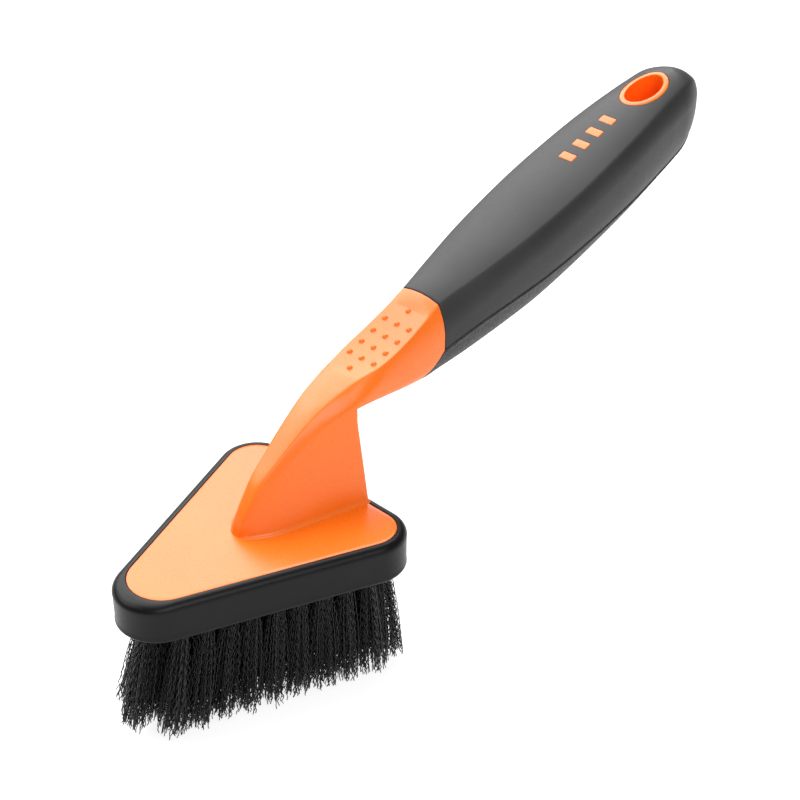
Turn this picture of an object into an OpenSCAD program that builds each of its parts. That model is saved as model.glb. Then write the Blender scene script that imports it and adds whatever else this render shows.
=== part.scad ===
// Wheel brush: a triangular head with a rubber bumper, a wedge neck and a soft grip.
// +X runs from the head's apex to the handle's end and +Z is up. The bristle tips
// lie in z = 0, and the origin is the middle of that working face.

/* [Head] */
// Length of the head plate's triangle, from its sharp apex to its rear edge
plate_l = 104; // [96:1:116]
// Width of the head plate's triangle along its rear edge
plate_w = 81; // [76:1:92]
// Corner radius of the plate at the apex
apex_r = 12; // [10:0.5:14]
// Corner radius of the plate at its rear corners
rear_r = 9.5; // [8:0.5:12]
// Height of the head, plate and bumper together
head_h = 14; // [13:0.5:17]
// Thickness of the rubber bumper round the plate
bumper_t = 3.2; // [2.4:0.1:4.5]

/* [Bristles] */
// Length of the bristles below the head
bristle_l = 39.5; // [30:0.5:44]
// Distance between the rows of tufts
row_pitch = 7.2; // [7:0.1:7.4]
// Distance between the tufts of one row
tuft_pitch = 7.2; // [7:0.1:8]
// Diameter of a tuft's hole
hole_d = 4.6; // [4:0.1:5]
// Depth of a tuft's hole
hole_depth = 9; // [7:0.5:10]
// Spread of the rear tips along the head, as a multiple of the holes' layout
spread_rear = 1.2; // [1.1:0.01:1.24]
// Spread of the front tips along the head
spread_front = 1.16; // [1:0.01:1.2]
// How far the tips spread across the head
spread_y = 1.02; // [1:0.01:1.12]
// How far the bristles lean towards the apex, root to tip
lean = 4; // [0:0.5:5]

/* [Handle] */
// Where the grip starts, at its top
grip_x = 81; // [78:1:84]
// Where the textured pad starts under the handle
pad_x = 66; // [62:1:72]
// The handle's end
handle_end = 219; // [216:1:224]
// Thickness of the soft grip over the hard core
grip_t = 3; // [2:0.5:3.5]
// Rear face of the neck, under the handle
neck_back = 41.2; // [40.2:0.2:42.2]

/* [Hang hole] */
// Length of the oval hole, along the handle
hang_l = 17.2; // [14:0.2:19]
// Width of the oval hole
hang_w = 10.8; // [9:0.2:12]
// Wall of the eyelet round the hole
eyelet_t = 2; // [1.5:0.1:2.4]
// Distance from the hole's middle to the handle's end
hang_back = 21.6; // [20.6:0.2:24]
// Tilt of the hole, in degrees, square to the top of the grip
hang_tilt = 15; // [12:1:18]

/* [Grip marks] */
// Number of plain orange bars let into the top of the grip
bar_count = 4; // [0:1:5]
// Distance from one bar to the next
bar_pitch = 6.9; // [5:0.1:7.5]
// Length of a bar, across the grip
bar_l = 6; // [4:0.2:9]
// Width of a bar
bar_w = 3.2; // [1.5:0.1:4]
// Middle of the first bar
bar_x = 153; // [150:1:156]

/* [Hidden] */
orange = "#f27a2a";
black_rubber = "#2a2a2c";
grey_rubber = "#4a4b4d";
bristle_black = "#1a1a1c";
steel = "#a8a9ad";
$fn = 48;

// Levels: the underside of the plate, which sits a little inside the bumper, and its top
plate_top = bristle_l + head_h;
plate_z = bristle_l + 1;
// Sharp corners of the plate's triangle
apex_x = lean - plate_l * 2 / 3;
rear_x = lean + plate_l / 3;
half_w = plate_w / 2;
side_angle = atan(half_w / plate_l);
rear_angle = (90 - side_angle) / 2;
// Centres of the plate's corner arcs
apex_c = apex_x + apex_r / sin(side_angle);
rear_c = [rear_x - rear_r, half_w - rear_r / tan(rear_angle)];
// The rib that keys the bumper to the plate
rib_h = 3;
rib_t = 1.2;
rib_z = plate_z + 4.5;
// The bumper is a little more pointed than the plate, and its edges are rounded
bumper_apex_r = apex_r + bumper_t - 1.2;
bumper_apex_c = apex_x + (bumper_apex_r - bumper_t) / sin(side_angle);
top_round = 3;
foot_round = 0.6;

// Tufts keep this distance from the plate's edge to the middles of their holes
tuft_margin = 5;
first_row = -6;
root_d = hole_d - 0.1;
bundle_r = root_d / 2 - 0.2;
tuft_sides = 12;
tip_d = 6.6;
apex_fan = 0.03;
anchor_h = 2.2;
anchor_t = 0.5;
anchor_w = hole_d - 0.06;

// Cross-sections of the neck, one line for each place along it: x, half the width of
// its front band, height of the band's edges over the plate, rise of its crown, half
// the width at its shoulders, depth from the band's edges to there, and half the
// width where it meets the plate.
NECK = [
    [-3.4, 1.1, 0.4, 0.1, 1.3, 0.2, 1.5],
    [-2.6, 1.6, 3.2, 0.2, 2.1, 1.0, 2.6],
    [-1.2, 1.8, 6.2, 0.2, 2.7, 2.0, 3.9],
    [1, 2.1, 9.6, 0.3, 3.3, 2.6, 5.8],
    [6, 2.6, 16.2, 0.3, 4.2, 3.8, 8.4],
    [12.8, 3.3, 21.9, 0.3, 5.1, 4.5, 10.3],
    [21, 4.1, 28.2, 0.4, 6.3, 5.0, 12.3],
    [29.1, 4.9, 33.4, 0.4, 7.7, 5.2, 14.2],
    [35.2, 5.5, 36.2, 0.4, 9.2, 5.4, 15.7],
    [41.2, 6.1, 38.2, 0.4, 10.3, 5.6, 17.2]];
neck_sink = 1.5;
neck_flare = 1.4;
neck_lean = 1.4;

// Cross-sections of the handle: x, half the width of its top face, height of the
// face's edges over the plate, rise of its crown, half its greatest width, depth
// from the face's edges to there, depth to the underside, and how square that is.
HANDLE = [
    [41.2, 6.1, 38.2, 0.4, 10.3, 5.6, 6.8, 7],
    [46, 7.0, 39.7, 0.3, 10.7, 6.2, 8.6, 6],
    [54, 8.6, 41.6, 0.2, 10.7, 7.6, 11.8, 5],
    [64, 8.8, 44.9, 0.2, 10.9, 9.4, 16.6, 4.5],
    [74, 8.4, 49.3, 0.2, 11.1, 11.0, 22.0, 4],
    [81, 8.2, 52.9, 1.2, 11.3, 11.0, 25.6, 3.6],
    [94, 10.3, 57.1, 1.7, 13.2, 9.5, 28.6, 3],
    [109, 12.6, 61.9, 2.1, 15.2, 8.5, 30.6, 2.8],
    [124, 14.1, 66.6, 2.3, 16.5, 8.0, 32.2, 2.7],
    [141, 14.9, 72.1, 2.4, 17.0, 8.0, 33.0, 2.6],
    [157, 14.6, 77.3, 2.4, 16.8, 8.0, 33.0, 2.6],
    [174, 13.6, 82.7, 2.5, 16.0, 8.0, 32.8, 2.6],
    [192, 11.6, 88.0, 2.6, 14.2, 8.0, 31.8, 2.6],
    [208, 9.6, 91.8, 2.6, 12.2, 8.0, 29.4, 2.6],
    [224, 8.0, 94.6, 2.6, 10.6, 8.0, 26.6, 2.6]];

// Length of the handle's rounded end, and how flat it keeps its top and underside
end_round = 17;
end_flat = 0.9;

function lerp(a, b, t) = a + (b - a) * t;

// Value of column c of a table at x, on a smooth curve through its rows
function row_at(table, x, i = 0) =
    i >= len(table) - 2 || x < table[i + 1][0] ? i : row_at(table, x, i + 1);
function curve(table, c, x) =
    let (i = row_at(table, x),
        a = table[max(i - 1, 0)], b = table[i],
        d = table[i + 1], e = table[min(i + 2, len(table) - 1)],
        w = d[0] - b[0], t = (x - b[0]) / w,
        mb = (d[c] - a[c]) / (d[0] - a[0]) * w,
        md = (e[c] - b[c]) / (e[0] - b[0]) * w)
    (2 * t ^ 3 - 3 * t ^ 2 + 1) * b[c] + (t ^ 3 - 2 * t ^ 2 + t) * mb
        + (3 * t ^ 2 - 2 * t ^ 3) * d[c] + (t ^ 3 - t ^ 2) * md;

// Half an outline goes over the crown, down the side and round the underside.
// The shell ends and the textured pad starts at seam_step, a line that drops towards
// the handle's end.
top_steps = 4;
side_steps = 4;
upper_steps = top_steps + side_steps;
low_steps = 6;
FOOT_LEVELS = [0.3, 0.6, 0.85, 0.95, 1];
seam_step = upper_steps + 2;
half_steps = upper_steps + low_steps;
ring_steps = 2 * half_steps;

function seam_angle(x) = 8 + 0.25 * max(0, x - grip_x);
function low_angle(k, x) =
    let (seam = seam_angle(x)) k <= 2 ? seam * k / 2 : lerp(seam, 90, (k - 2) / (low_steps - 2));

// Crown and side of half an outline, from a table of either kind
function upper_point(table, x, j) =
    let (w = curve(table, 1, x), z = plate_top + curve(table, 2, x), crown = curve(table, 3, x),
        widest = curve(table, 4, x), down = curve(table, 5, x))
    j <= top_steps
        ? let (t = j / top_steps) [w * t, z + crown * (1 - t * t)]
    : let (t = (j - top_steps) / side_steps)
        [w + (widest - w) * (1 - (1 - t) ^ 2), z - down * t];
function half_point(x, j) =
    let (p = upper_point(HANDLE, x, min(j, upper_steps)),
        deep = curve(HANDLE, 6, x) - curve(HANDLE, 5, x), power = 2 / curve(HANDLE, 7, x))
    j <= upper_steps ? p
    : let (a = low_angle(j - upper_steps, x))
        [p[0] * cos(a) ^ power, p[1] - deep * sin(a) ^ power];

// Point j of the neck's outline at x, whose foot flares out into the plate
function neck_point(x, j) =
    let (far = j > half_steps, k = far ? ring_steps - j : j, side = far ? -1 : 1,
        p = upper_point(NECK, x, min(k, upper_steps)),
        t = k <= upper_steps ? 0 : k == half_steps ? 1 : FOOT_LEVELS[k - upper_steps - 1],
        flare = neck_flare * max(0, 1 - (1 - t) / 0.2) ^ 2,
        back = neck_lean * t * max(0, (x - NECK[0][0]) / (neck_back - NECK[0][0])) ^ 2)
    k == half_steps ? [x - back, 0, plate_top - neck_sink]
    : [x - back, side * (lerp(p[0], curve(NECK, 6, x), t) + flare), lerp(p[1], plate_top, t)];

// Height of the middle of the handle's section at x, and half its whole height
function middle(x) =
    plate_top + curve(HANDLE, 2, x) + (curve(HANDLE, 3, x) - curve(HANDLE, 6, x)) / 2;
function half_height(x) = (curve(HANDLE, 3, x) + curve(HANDLE, 6, x)) / 2;

// Point j of the whole outline at x, drawn in by t, on a handle that ends at end
function ring_point(x, j, t, end) =
    let (far = j > half_steps,
        p = half_point(x, far ? ring_steps - j : j),
        u = max(0, 1 - (end - x) / end_round),
        close = sqrt(max(0, 1 - u * u)))
    [x,
        (far ? -1 : 1) * p[0] * (1 - t / curve(HANDLE, 4, x)) * close,
        middle(x) + (p[1] - middle(x)) * (1 - t / half_height(x)) * close ^ end_flat];

// Where the soft grip starts at point j: square across the top, and further forward
// under the handle, where only the pad is
function grip_start(j) =
    let (k = j > half_steps ? ring_steps - j : j)
    lerp(grip_x, pad_x, min(1, max(0, (k - seam_step) / 2)));

// Places along the handle from a start to its end, as a share of the straight part
// up to 1, and then in degrees round the rounded end
STRAIGHT = [for (i = [0:20]) i / 20];
END_ANGLES = [22, 40, 55, 68, 79];
function place(u, start, end) = lerp(start, end - end_round, u);
function end_place(a, end) = end - end_round * (1 - sin(a));
function skin_rows(js, t) =
    let (end = handle_end - t)
    concat(
        [for (u = STRAIGHT) [for (j = js) ring_point(place(u, grip_start(j), end), j, t, end)]],
        [for (a = END_ANGLES) [for (j = js) ring_point(end_place(a, end), j, t, end)]]);
function pole(t) = [handle_end - t, 0, middle(handle_end - t)];

function quad(a, b, c, d) = [[a, b, c], [a, c, d]];
function mean(ring) = [for (k = [0:2]) [for (p = ring) p[k]] * [for (p = ring) 1] / len(ring)];
function backwards(list) = [for (i = [len(list) - 1:-1:0]) list[i]];

// Closed solid through whole rings, from a flat start to a point. From ring back - 1
// to ring back the outline steps in under its sides, and keeps its upper points.
module loft(rings, tip, back = -1) {
    n = len(rings[0]);
    m = len(rings);
    function kept(j) = min(j, n - j) <= upper_steps;
    function at(i, j) = let (k = j % n) i == back && kept(k) ? (i - 1) * n + k : i * n + k;
    sides = [for (i = [0:m - 2], j = [0:n - 1])
        each quad(at(i, j), at(i, j + 1), at(i + 1, j + 1), at(i + 1, j))];
    faces = concat(
        [for (f = sides) if (f[0] != f[1] && f[1] != f[2] && f[2] != f[0]) f],
        [for (j = [0:n - 1]) [m * n, (j + 1) % n, j]],
        [for (j = [0:n - 1]) [m * n + 1, (m - 1) * n + j, (m - 1) * n + (j + 1) % n]]);
    polyhedron(concat([for (r = rings) each r], [mean(rings[0]), tip]), faces, convexity = 6);
}

// Closed skin between two sheets of rows that have the same number of points, and
// meet in the line between two points at the far end
module skin(outer, inner, outer_tip, inner_tip) {
    n = len(outer[0]);
    m = len(outer);
    last = (m - 1) * 2 * n;
    tips = m * 2 * n;
    rows = [for (i = [0:m - 1]) concat(outer[i], backwards(inner[i]))];
    faces = concat(
        [for (i = [0:m - 2], j = [0:2 * n - 1])
            let (k = (j + 1) % (2 * n))
            each quad(i * 2 * n + j, i * 2 * n + k, (i + 1) * 2 * n + k, (i + 1) * 2 * n + j)],
        [for (j = [0:n - 2]) each quad(j, 2 * n - 1 - j, 2 * n - 2 - j, j + 1)],
        [for (j = [0:n - 2]) [last + j, last + j + 1, tips]],
        [for (j = [n:2 * n - 2]) [last + j, last + j + 1, tips + 1]],
        quad(last + n - 1, last + n, tips + 1, tips),
        quad(last + 2 * n - 1, last, tips, tips + 1));
    polyhedron(concat([for (r = rows) each r], [outer_tip, inner_tip]), faces, convexity = 6);
}

// The handle as one whole solid, out to the surface of the grip
module handle_outside() {
    js = [0:ring_steps - 1];
    loft(skin_rows(js, 0), pole(0));
}

// The neck and the hard core of the handle in one piece: full size in front of the
// grip, and drawn in under it
module neck_and_handle() {
    js = [0:ring_steps - 1];
    neck_rows = [for (i = [0:14]) let (x = lerp(NECK[0][0], neck_back, i / 14))
        [for (j = js) neck_point(x, j)]];
    bare_rows = [for (i = [0:8]) [for (j = js)
        ring_point(lerp(neck_back, grip_start(j), i / 8), j, 0, handle_end)]];
    loft(concat(neck_rows, bare_rows, skin_rows(js, grip_t)), pole(grip_t), len(neck_rows));
}

// Rounded triangle, grown by g all round, as its tangent polygon and corner discs
module head_prism(g, h) {
    a = side_angle;
    reach = [-sin(a), cos(a)];
    front = [apex_c, 0] + reach * (apex_r + g);
    rear = rear_c + reach * (rear_r + g);
    right = [rear_x + g, rear_c[1]];
    up = [front, rear, right];
    linear_extrude(h)
        polygon(concat([[apex_c, 0]], up, [for (p = backwards(up)) [p[0], -p[1]]]));
    translate([apex_c, 0, 0])
        cylinder(r = apex_r + g, h = h);
    for (s = [-1, 1])
        translate([rear_c[0], s * rear_c[1], 0])
            cylinder(r = rear_r + g, h = h);
}

// Disc with a rounded top edge, for one corner of the bumper
module bumper_corner(r) {
    rim = r + bumper_t;
    arc = [for (a = [0:15:90])
        [rim - top_round + top_round * cos(a), head_h - top_round + top_round * sin(a)]];
    rotate_extrude()
        polygon(concat([[0, 0], [rim - foot_round, 0], [rim, foot_round]], arc, [[0, head_h]]));
}

// Oval through the handle's end, grown by g, from above it to below it
module hang_oval(g) {
    x = handle_end - hang_back;
    translate([x, 0, middle(x)])
        rotate([0, -hang_tilt, 0])
            linear_extrude(80, center = true)
                polygon([for (a = [0:9:351])
                    [(hang_l / 2 + g) * cos(a), (hang_w / 2 + g) * sin(a)]]);
}

// The plain bars let into the top of the grip
module grip_bars() {
    for (i = [0:1:bar_count - 1])
        let (x = bar_x + i * bar_pitch)
            translate([x, 0, plate_top + curve(HANDLE, 2, x)])
                rotate([0, -hang_tilt, 0])
                    translate([-bar_w / 2, -bar_l / 2, -grip_t - 1])
                        cube([bar_w, bar_l, grip_t + 6]);
}

// Rows of tufts: the row's place, its half width, and the places of its tufts
function row_x(r) = lean + (first_row + r) * row_pitch;
function side_reach(x) = (x - apex_x) * tan(side_angle) - tuft_margin / cos(side_angle);
function arc_reach(x, cx, cy, r) = cy + sqrt(max(0, r * r - (x - cx) ^ 2));
function row_reach(x) = min(side_reach(x),
    x < apex_c ? arc_reach(x, apex_c, 0, apex_r - tuft_margin) : half_w,
    x > rear_c[0] ? arc_reach(x, rear_c[0], rear_c[1], rear_r - tuft_margin) : half_w);
function row_count(r) = round(2 * row_reach(row_x(r)) / tuft_pitch) + 1;
function row_places(r) =
    let (n = row_count(r), reach = row_reach(row_x(r)))
    n == 1 ? [0] : [for (i = [0:n - 1]) lerp(-reach, reach, i / (n - 1))];

// One tuft: a round root that fills its hole, and a bundle that starts inside the
// root, leans, and opens out to its flat working end. The front rows fan out sideways.
module tuft(x, y) {
    spread = x < lean ? spread_front : spread_rear;
    fan = spread_y - 1 + apex_fan * max(0, -20 - x);
    away = [(x - lean) * (spread - 1) - lean, y * fan];
    function ring(z, r, t) = [for (i = [0:tuft_sides - 1]) let (a = i * 360 / tuft_sides)
        [x + away[0] * t + r * cos(a), y + away[1] * t + r * sin(a), z]];
    translate([x, y, plate_z])
        cylinder(d = root_d, h = hole_depth);
    loft([ring(plate_z + 0.6, bundle_r, 0), ring(plate_z - 0.4, bundle_r, 0),
        ring(0, tip_d / 2, 1)], [x + away[0], y + away[1], 0]);
}

module anchor(x, y) {
    translate([x - anchor_w / 2, y - anchor_t / 2, plate_z + hole_depth - anchor_h - 0.6])
        cube([anchor_w, anchor_t, anchor_h]);
}

module tuft_row(r) {
    color(bristle_black)
        difference() {
            for (y = row_places(r))
                tuft(row_x(r), y);
            for (y = row_places(r))
                anchor(row_x(r), y);
        }
}

module anchor_row(r) {
    color(steel)
        for (y = row_places(r))
            anchor(row_x(r), y);
}

// Orange core: the head plate with its tuft holes, the neck, the handle inside the
// grip, the eyelet, and the bars that show on the grip
module core() {
    color(orange) {
        difference() {
            union() {
                translate([0, 0, plate_z])
                    head_prism(0, plate_top - plate_z);
                translate([0, 0, rib_z])
                    head_prism(rib_t, rib_h);
            }
            for (r = [0:10], y = row_places(r))
                translate([row_x(r), y, plate_z - 1])
                    cylinder(d = hole_d, h = hole_depth + 1);
        }
        difference() {
            union() {
                neck_and_handle();
                intersection() {
                    handle_outside();
                    union() {
                        hang_oval(eyelet_t);
                        grip_bars();
                    }
                }
            }
            hang_oval(0);
        }
    }
}

module head_bumper() {
    color(black_rubber)
        difference() {
            translate([0, 0, bristle_l])
                hull() {
                    translate([bumper_apex_c, 0, 0])
                        bumper_corner(bumper_apex_r - bumper_t);
                    for (s = [-1, 1])
                        translate([rear_c[0], s * rear_c[1], 0])
                            bumper_corner(rear_r);
                }
            translate([0, 0, bristle_l - 1])
                head_prism(0, head_h + 2);
            translate([0, 0, rib_z])
                head_prism(rib_t, rib_h);
        }
}

module grip_shell() {
    js = [for (j = [-seam_step:seam_step]) (j + ring_steps) % ring_steps];
    color(grey_rubber)
        difference() {
            skin(skin_rows(js, 0), skin_rows(js, grip_t), pole(0), pole(grip_t));
            hang_oval(eyelet_t);
            grip_bars();
        }
}

module grip_pad() {
    js = [for (j = [seam_step:ring_steps - seam_step]) j];
    color(grey_rubber)
        difference() {
            skin(skin_rows(js, 0), skin_rows(js, grip_t), pole(0), pole(grip_t));
            hang_oval(eyelet_t);
        }
}

core();
head_bumper();
grip_shell();
grip_pad();
tuft_row(0);  // tuft_row_01
tuft_row(1);  // tuft_row_02
tuft_row(2);  // tuft_row_03
tuft_row(3);  // tuft_row_04
tuft_row(4);  // tuft_row_05
tuft_row(5);  // tuft_row_06
tuft_row(6);  // tuft_row_07
tuft_row(7);  // tuft_row_08
tuft_row(8);  // tuft_row_09
tuft_row(9);  // tuft_row_10
tuft_row(10);  // tuft_row_11
anchor_row(0);  // anchor_row_01
anchor_row(1);  // anchor_row_02
anchor_row(2);  // anchor_row_03
anchor_row(3);  // anchor_row_04
anchor_row(4);  // anchor_row_05
anchor_row(5);  // anchor_row_06
anchor_row(6);  // anchor_row_07
anchor_row(7);  // anchor_row_08
anchor_row(8);  // anchor_row_09
anchor_row(9);  // anchor_row_10
anchor_row(10);  // anchor_row_11
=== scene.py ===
"""Looks for the wheel brush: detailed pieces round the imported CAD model, lights, floor and camera.

Lengths are in millimetres, in the CAD model's frame, and become metres when a mesh is made.
"""

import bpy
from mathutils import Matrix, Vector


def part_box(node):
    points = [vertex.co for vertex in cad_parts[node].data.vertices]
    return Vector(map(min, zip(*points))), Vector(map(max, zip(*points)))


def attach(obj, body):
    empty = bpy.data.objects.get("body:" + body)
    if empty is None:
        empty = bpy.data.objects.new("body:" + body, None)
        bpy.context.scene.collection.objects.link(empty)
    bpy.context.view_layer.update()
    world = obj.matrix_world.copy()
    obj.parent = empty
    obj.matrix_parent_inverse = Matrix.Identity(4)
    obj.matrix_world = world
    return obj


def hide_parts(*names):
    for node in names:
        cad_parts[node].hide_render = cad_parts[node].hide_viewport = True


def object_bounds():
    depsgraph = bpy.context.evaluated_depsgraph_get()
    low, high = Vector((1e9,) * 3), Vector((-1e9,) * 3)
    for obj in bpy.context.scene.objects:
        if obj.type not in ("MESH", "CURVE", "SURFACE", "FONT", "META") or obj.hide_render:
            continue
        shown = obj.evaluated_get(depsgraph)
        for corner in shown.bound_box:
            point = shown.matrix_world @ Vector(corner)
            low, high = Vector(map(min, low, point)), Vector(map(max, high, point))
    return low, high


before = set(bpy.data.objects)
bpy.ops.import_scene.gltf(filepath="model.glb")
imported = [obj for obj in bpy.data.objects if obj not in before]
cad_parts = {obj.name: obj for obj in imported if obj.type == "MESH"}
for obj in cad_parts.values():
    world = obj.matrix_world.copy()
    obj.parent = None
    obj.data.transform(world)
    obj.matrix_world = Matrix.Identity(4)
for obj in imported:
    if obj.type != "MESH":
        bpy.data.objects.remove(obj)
CAD_BOX = [list(corner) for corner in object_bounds()]

import math

import bmesh
import bpy
import numpy as np
from mathutils import Vector

MM = 0.001
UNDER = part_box("head_bumper")[0].z / MM         # underside of the head
PLATE_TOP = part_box("head_bumper")[1].z / MM     # top of the head plate
PLATE_Z = UNDER + 1                             # underside of the plate, inside the bumper
HANDLE_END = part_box("grip_shell")[1].x / MM     # far end of the handle
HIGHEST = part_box("grip_shell")[1].z / MM        # top of the handle near that end

# The plate's rounded triangle, and the bumper's more pointed outline round it
PLATE_L, PLATE_W, APEX_R, REAR_R = 104, 81, 12, 9.5
BUMPER_T, BUMPER_APEX_R = 3.2, 14
LEAN = 4              # the plate's middle lies this far behind the middle of the bristle tips
HALF_ANGLE = math.atan(PLATE_W / 2 / PLATE_L)
# The soft grip: where it starts on top and underneath, and the hang hole through its end
GRIP_X, PAD_X, NECK_BACK = 81, 66, 41.2
HANG_A, HANG_B, HANG_TILT = 8.6, 5.4, math.radians(15)
HANG_X = HANDLE_END - 21.6

# Upper surface from the neck's front to the handle's end: x, half the width of the top
# band, height of the band's edges over the plate, rise of its crown, half the width at
# the shoulders, and depth from the band's edges to there
UPPER = np.array([
    (-4, 0.9, -0.6, 0.05, 1.1, 0.1), (-3.4, 1.1, 0.4, 0.1, 1.3, 0.2), (-2.6, 1.6, 3.2, 0.2, 2.1, 1.0),
    (-1.2, 1.8, 6.2, 0.2, 2.7, 2.0), (1, 2.1, 9.6, 0.3, 3.3, 2.6), (6, 2.6, 16.2, 0.3, 4.2, 3.8),
    (12.8, 3.3, 21.9, 0.3, 5.1, 4.5), (21, 4.1, 28.2, 0.4, 6.3, 5.0), (29.1, 4.9, 33.4, 0.4, 7.7, 5.2),
    (35.2, 5.5, 36.2, 0.4, 9.2, 5.4), (41.2, 6.1, 38.2, 0.4, 10.3, 5.6), (46, 7.0, 39.7, 0.3, 10.7, 6.2),
    (54, 8.6, 41.6, 0.2, 10.7, 7.6), (64, 8.8, 44.9, 0.2, 10.9, 9.4), (74, 8.4, 49.3, 0.2, 11.1, 11.0),
    (81, 8.2, 52.9, 1.2, 11.3, 11.0), (94, 10.3, 57.1, 1.7, 13.2, 9.5), (109, 12.6, 61.9, 2.1, 15.2, 8.5),
    (124, 14.1, 66.6, 2.3, 16.5, 8.0), (141, 14.9, 72.1, 2.4, 17.0, 8.0), (157, 14.6, 77.3, 2.4, 16.8, 8.0),
    (174, 13.6, 82.7, 2.5, 16.0, 8.0), (192, 11.6, 88.0, 2.6, 14.2, 8.0), (208, 9.6, 91.8, 2.6, 12.2, 8.0),
    (224, 8.0, 94.6, 2.6, 10.6, 8.0)])
# Half the neck's width where it meets the plate: x, half width
FOOT = np.array([
    (-4, 1.2), (-3.4, 1.5), (-2.6, 2.6), (-1.2, 3.9), (1, 5.8), (6, 8.4), (12.8, 10.3), (21, 12.3),
    (29.1, 14.2), (35.2, 15.7), (41.2, 17.2)])
# Underside of the handle: x, depth from the top band's edges, and squareness
LOWER = np.array([
    (41.2, 6.8, 7), (46, 8.6, 6), (54, 11.8, 5), (64, 16.6, 4.5), (74, 22.0, 4), (81, 25.6, 3.6),
    (94, 28.6, 3), (109, 30.6, 2.8), (124, 32.2, 2.7), (141, 33.0, 2.6), (157, 33.0, 2.6),
    (174, 32.8, 2.6), (192, 31.8, 2.6), (208, 29.4, 2.6), (224, 26.6, 2.6)])
END_ROUND, END_FLAT = 17, 0.9     # length of the handle's rounded end, and how blunt it is
NOSE = -4                         # where the neck's front starts, inside the plate

# Places round an outline of the handle: q is 0 in the middle of the top, 1 at the edge of the
# top band, 2 at the shoulder and 3 in the middle of the underside
Q_A, Q_B = 0.9, 1.1               # where the rounding of the band's edge starts and ends
Q_SEAM, Q_PAD = 2.3, 2.65         # the seam over the pad, and where the pad's front stops slanting
Q_STEP = 0.06                     # a small step, to measure along an outline

ROUND_SHARE = 0.45                # the rounding takes no more than this share of band or shoulder
# On the neck the flanks run straight up to the band. Shoulders form from here on, over this length
STRAIGHT_END, STRAIGHT_RUN = 36, 12

# Thumb zone: where it starts, how soon it reaches its depth, and where its hollow ends
THUMB_X, THUMB_RUN, HOLLOW_END, HOLLOW_RUN = 43, 5, 78, 8
NECK_CROWN, HOLLOW, LIP = 0.3, 0.35, 1.2      # rise on the neck, depth of the hollow, rise of the lip
LIP_X, LIP_BOW = 75.8, 0.012                  # start of the lip, and how it curves across the handle


def curve(table, c, x):
    """Column c of a table at x, on a smooth curve through its rows."""
    xs, v = table[:, 0], table[:, c]
    b = np.clip(np.searchsorted(xs, x, side="right") - 1, 0, len(xs) - 2)
    a, d, e = np.maximum(b - 1, 0), b + 1, np.minimum(b + 2, len(xs) - 1)
    w = xs[d] - xs[b]
    t = (x - xs[b]) / w
    mb = (v[d] - v[a]) / (xs[d] - xs[a]) * w
    md = (v[e] - v[b]) / (xs[e] - xs[b]) * w
    return ((2 * t**3 - 3 * t**2 + 1) * v[b] + (t**3 - 2 * t**2 + t) * mb
            + (3 * t**2 - 2 * t**3) * v[d] + (t**3 - t**2) * md)


def smooth(t):
    """Soft step from 0 to 1."""
    t = np.clip(t, 0, 1)
    return t * t * (3 - 2 * t)


def crown_rise(x, y, w):
    """Rise of the top band over its edges: scooped in the thumb zone, with a lip before the grip."""
    rise = curve(UPPER, 3, x)
    lip_start = LIP_X - LIP_BOW * y**2
    u = np.clip((x - lip_start) / (GRIP_X - lip_start), 0, 1)
    zone = smooth((x - THUMB_X) / THUMB_RUN)
    hollow = HOLLOW * zone * smooth((HOLLOW_END - x) / HOLLOW_RUN)
    thumb = NECK_CROWN * (1 - zone) - hollow + LIP * (1 - (1 - u) ** 1.5)
    rise = np.where((x > THUMB_X) & (x < GRIP_X), thumb, rise)
    return rise * (1 - (y / w) ** 2)


def seam_angle(x):
    """How far round the underside the seam runs, in degrees: it drops towards the end."""
    return 8 + 0.25 * np.maximum(0, x - GRIP_X)


def half(x, q, rounding):
    """Points (y, z) of half an outline at x, for places q from 0 to 3. The band's edge is
    rounded off that far each way."""
    w, z, wide, down = (curve(UPPER, c, x) for c in (1, 2, 4, 5))
    z = z + PLATE_TOP
    r = np.minimum(rounding, ROUND_SHARE * w)

    def band(t):
        return w * t, z + crown_rise(x, w * t, w)

    # On the neck the shoulder keeps this share of the slant of the flank below it
    xn = np.clip(x, NOSE + 0.8, NECK_BACK)
    slant = (curve(FOOT, 1, xn) - wide) / np.maximum(curve(UPPER, 2, xn) - down, 0.5)
    keep = np.clip(slant * down / (wide - w), 0, 0.9)
    keep = keep * (1 - smooth((x - STRAIGHT_END) / STRAIGHT_RUN))

    def side(t):
        return w + (wide - w) * (keep * t + (1 - keep) * (1 - (1 - t) ** 2)), z - down * t

    t_side = np.minimum(r / np.hypot(2 * (wide - w), down), ROUND_SHARE)
    t_band = 1 - r / w
    u = np.clip((q - Q_A) / (Q_B - Q_A), 0, 1)
    before, corner, after = band(t_band), band(np.ones_like(w)), side(t_side)
    bent = [(1 - u) ** 2 * a + 2 * u * (1 - u) * b + u**2 * c for a, b, c in zip(before, corner, after)]
    flat = band(np.clip(q / Q_A, 0, 1) * t_band)
    steep = side(t_side + (1 - t_side) * np.clip((q - Q_B) / (2 - Q_B), 0, 1))
    seam = seam_angle(x)
    above = seam * np.clip((q - 2) / (Q_SEAM - 2), 0, 1)
    below = seam + (90 - seam) * np.clip((q - Q_SEAM) / (3 - Q_SEAM), 0, 1)
    a = np.radians(np.where(q <= Q_SEAM, above, below))
    xl = np.maximum(x, LOWER[0, 0])
    power = 2 / curve(LOWER, 2, xl)
    deep = curve(LOWER, 1, xl) - down
    under = (wide * np.cos(a).clip(0) ** power, z - down - deep * np.sin(a).clip(0) ** power)
    pick = [q <= Q_A, q <= Q_B, q <= 2]
    return [np.select(pick, [f, b, s], default=d) for f, b, s, d in zip(flat, bent, steep, under)]


def middle(x):
    """Height of the handle's middle line."""
    return PLATE_TOP + curve(UPPER, 2, x) + (curve(UPPER, 3, x) - curve(LOWER, 1, x)) / 2


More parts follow.
